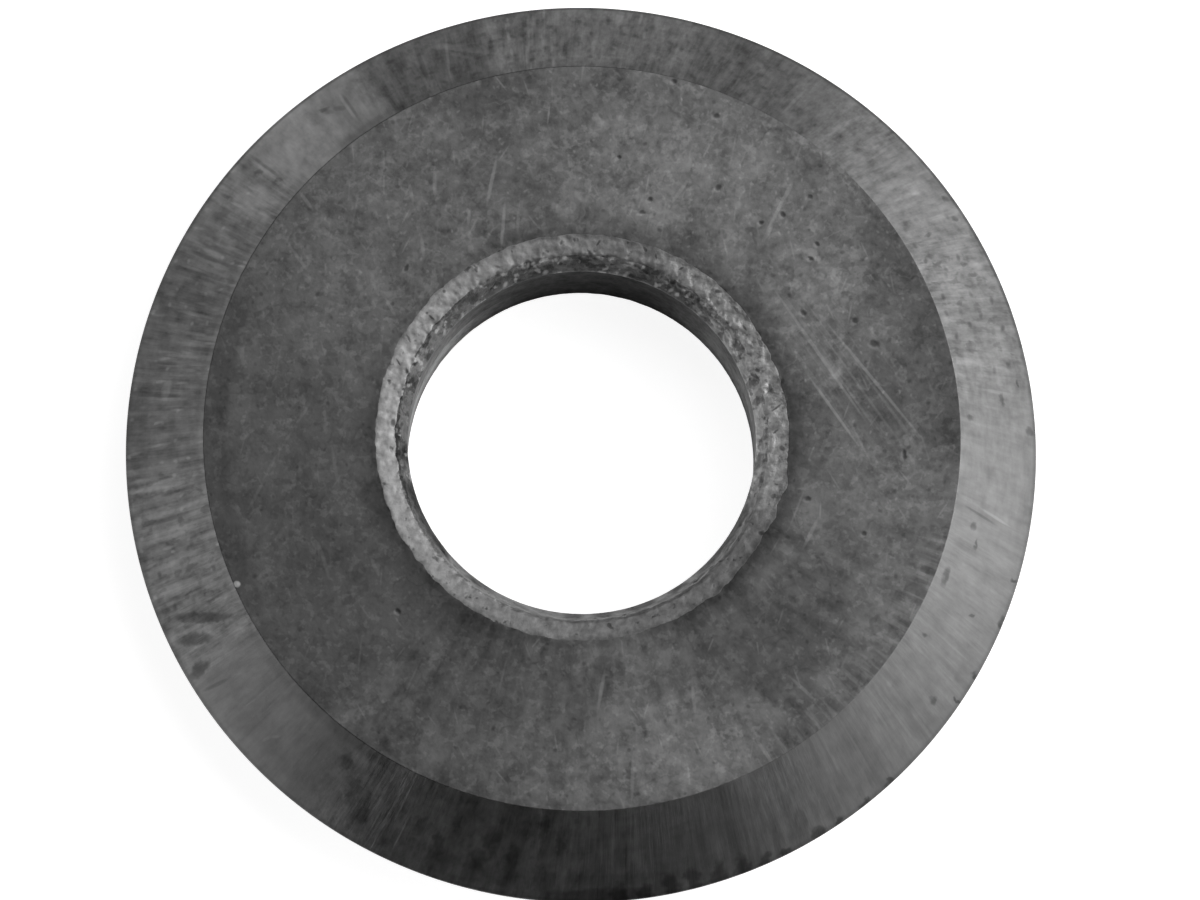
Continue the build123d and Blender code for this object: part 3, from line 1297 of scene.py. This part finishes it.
# The lights: angles round the wheel and above the floor in degrees, distances and sizes in millimetres
softboxes = [
    Softbox("key_light", 8, 14, 90, 70, 3.9),
    Softbox("wide_light", 8, 25, 80, 110, 0.9),
    Softbox("near_light", -35, 14, 90, 70, 1.5),
    Softbox("left_light", 180, 18, 90, 70, 1.3),
    Softbox("top_light", 40, 62, 70, 60, 1.9),
]


def make_softbox(softbox):
    """A square soft light aimed at the wheel."""
    lamp = bpy.data.lights.new(softbox.name, "AREA")
    lamp.size = softbox.size * mm
    lamp.energy = softbox.radiance * pi * (softbox.size * mm) ** 2
    made = bpy.data.objects.new(softbox.name, lamp)
    angle = radians(softbox.angle)
    elevation = radians(softbox.elevation)
    back = Vector((cos(angle) * cos(elevation), sin(angle) * cos(elevation), sin(elevation)))
    made.location = back * (softbox.distance * mm)
    made.rotation_mode = "QUATERNION"
    made.rotation_quaternion = (-back).to_track_quat("-Z", "Y")
    made.visible_camera = False
    bpy.context.scene.collection.objects.link(made)


def make_flag():
    """A black card before the wheel's near side, unseen, that only darkens what the metal reflects."""
    reach = 12.0 * mm
    top = 12.0 * mm
    first_angle = -122
    last_angle = -58
    step = 4
    points = []
    for angle in range(first_angle, last_angle + step, step):
        x = reach * cos(radians(angle))
        y = reach * sin(radians(angle))
        points += [(x, y, -half_thickness), (x, y, top)]
    faces = [(place, place + 2, place + 3, place + 1) for place in range(0, len(points) - 2, 2)]
    card = add_mesh("black_card", points, faces, dull_material("black_card", 0.01))
    card.visible_camera = False
    card.visible_diffuse = False
    card.visible_transmission = False
    card.visible_shadow = False


def make_camera():
    """The camera, almost straight above the wheel and tipped a little towards the photo's lower edge."""
    distance = 246.5 * mm
    tilt = radians(10.61)
    turn = radians(-4.02)
    aim_right = 0.332 * mm
    aim_up = 0.045 * mm
    camera_data = bpy.data.cameras.new("camera")
    camera_data.sensor_width = 36.0
    camera_data.lens = 420.76
    camera_data.clip_start = 1 * mm
    camera_data.clip_end = 10.0
    camera = bpy.data.objects.new("camera", camera_data)
    camera.rotation_mode = "QUATERNION"
    camera.rotation_quaternion = Quaternion((cos(turn), sin(turn), 0.0), tilt)
    camera.location = camera.rotation_quaternion @ Vector((aim_right, aim_up, distance))
    bpy.context.scene.collection.objects.link(camera)
    bpy.context.scene.camera = camera


make_wheel()
make_floor()
make_world()
for softbox in softboxes:
    make_softbox(softbox)
make_flag()
make_camera()

bpy.context.scene.view_settings.view_transform = "Standard"
